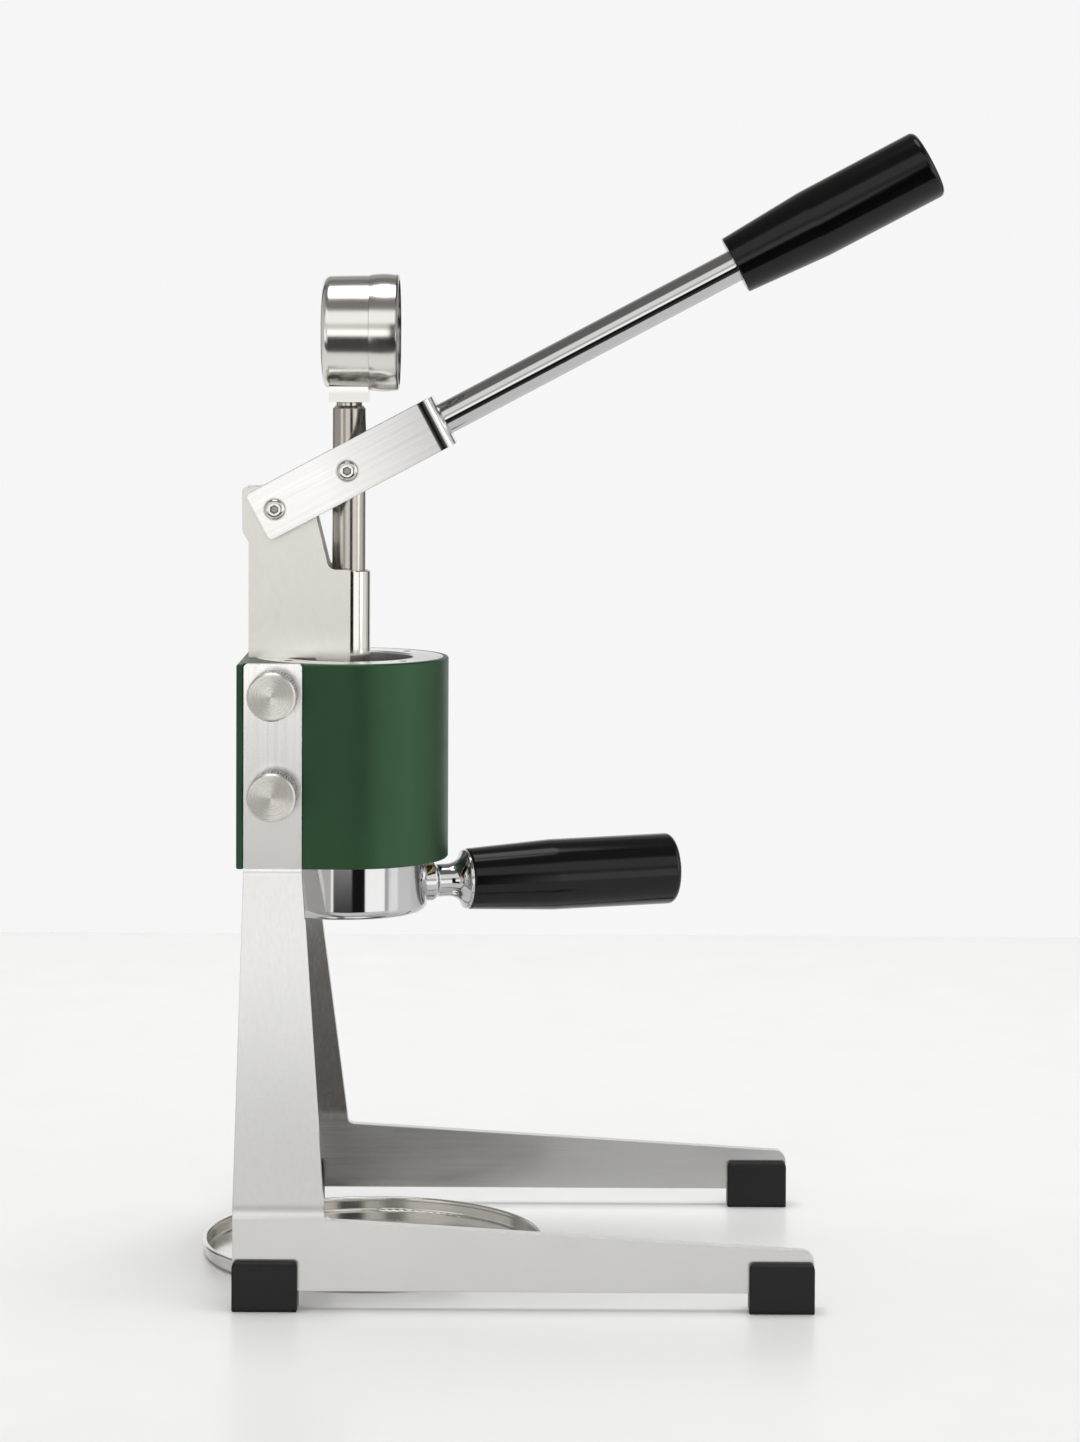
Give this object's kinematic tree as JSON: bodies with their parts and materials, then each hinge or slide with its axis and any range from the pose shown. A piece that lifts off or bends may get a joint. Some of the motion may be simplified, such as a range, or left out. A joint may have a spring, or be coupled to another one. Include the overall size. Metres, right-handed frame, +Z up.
{
  "type": "lever espresso machine",
  "caption": "Manual lever espresso press: open water cylinder in a D-shaped jacket on splayed sheet legs, forked hand lever, gauge, bottomless portafilter and drip tray.",
  "frame": {"origin": "on the counter, under the vertical axis of the piston, on the underside of the drip tray", "axes": "+Z up along the piston, +X towards the handles, +Y to the far side when the handles point right"},
  "size_m": [0.2719, 0.1736, 0.4149],
  "materials": {
    "brushed_sheet": "brushed",
    "rubber": "matte",
    "turned_steel": "turned",
    "green_jacket": "satin",
    "cylinder_steel": "machined",
    "ring_steel": "faced",
    "screw_steel": "polished",
    "collar_brass": "machined",
    "seal_rubber": "matte",
    "screen_steel": "polished",
    "plate_steel": "clouded",
    "polished_tube": "polished",
    "bush_plastic": "smooth",
    "rod_steel": "ground",
    "piston_plastic": "machined",
    "pin_steel": "ground",
    "washer_plastic": "smooth",
    "gauge_steel": "polished",
    "gauge_glass": "clear",
    "gauge_dial": "printed",
    "gauge_brass": "machined",
    "gauge_red": "matte",
    "chrome": "polished",
    "black_grip": "gloss",
    "tray_steel": "polished"
  },
  "bodies": {
    "frame": {"bayonet_collar": "collar_brass", "bracket_foot": "plate_steel", "bracket_plate_far": "plate_steel", "bracket_plate_near": "plate_steel", "bracket_screws": "screw_steel", "cylinder": "cylinder_steel", "foot_front_far": "rubber", "foot_front_near": "rubber", "foot_rear_far": "rubber", "foot_rear_near": "rubber", "group_gasket": "seal_rubber", "guide_bush_low": "bush_plastic", "guide_bush_top": "bush_plastic", "guide_tube": "polished_tube", "jacket": "green_jacket", "leg_far": "brushed_sheet", "leg_near": "brushed_sheet", "ring_screws": "screw_steel", "screen_screw": "screw_steel", "shower_screen": "screen_steel", "thumb_screw_high_far": "turned_steel", "thumb_screw_high_near": "turned_steel", "thumb_screw_low_far": "turned_steel", "thumb_screw_low_near": "turned_steel", "top_ring": "ring_steel"},
    "rod": {"piston_rod": "rod_steel", "piston": "piston_plastic", "piston_nut": "pin_steel", "piston_seal_low": "seal_rubber", "piston_seal_top": "seal_rubber", "gauge_block": "gauge_steel", "gauge_case": "gauge_steel", "gauge_bezel": "gauge_steel", "gauge_glass": "gauge_glass", "gauge_dial": "gauge_dial", "gauge_movement": "gauge_brass"},
    "lever": {"lever_fork": "brushed_sheet", "lever_rod": "chrome", "lever_nut": "pin_steel", "lever_grip": "black_grip", "pivot_trunnion_near": "pin_steel", "pivot_trunnion_far": "pin_steel", "pivot_sleeve_near": "washer_plastic", "pivot_sleeve_far": "washer_plastic", "rear_washer_near": "washer_plastic", "rear_washer_far": "washer_plastic", "pivot_screw_near": "screw_steel", "pivot_screw_far": "screw_steel", "rear_screw_near": "screw_steel", "rear_screw_far": "screw_steel", "rear_pin": "pin_steel"},
    "portafilter": {"portafilter_cup": "chrome", "filter_basket": "screen_steel", "basket_spring": "pin_steel", "portafilter_neck": "chrome", "portafilter_ferrule": "chrome", "portafilter_grip": "black_grip"},
    "pointer": {"gauge_pointer": "gauge_red"},
    "tray": {"drip_tray": "tray_steel"}
  },
  "joints": [
    {"name": "rod_slide", "type": "slide", "parent": "frame", "child": "rod", "axis": [0, 0, 1], "range_m": [-0.032, 0.0072]},
    {"name": "lever_pivot", "type": "hinge", "parent": "rod", "child": "lever", "pos_m": [0, 0, 0.2906], "axis": [0, -1, 0], "range_deg": [-64.1, 13.9]},
    {"name": "portafilter_turn", "type": "hinge", "parent": "frame", "child": "portafilter", "pos_m": [0, 0, 0.1369], "axis": [0, 0, 1], "range_deg": [-60, 0]},
    {"name": "gauge_needle", "type": "hinge", "parent": "rod", "child": "pointer", "pos_m": [0.01135, 0, 0.34106], "axis": [-1, 0, 0], "range_deg": [0, 270]},
    {"name": "tray_slide", "type": "slide", "parent": "frame", "child": "tray", "axis": [1, 0, 0], "range_m": [0, 0.2]}
  ],
  "couplings": [
    {"joint": "rod_slide", "follows": "lever_pivot", "m_per_rad": 0.0282}
  ]
}
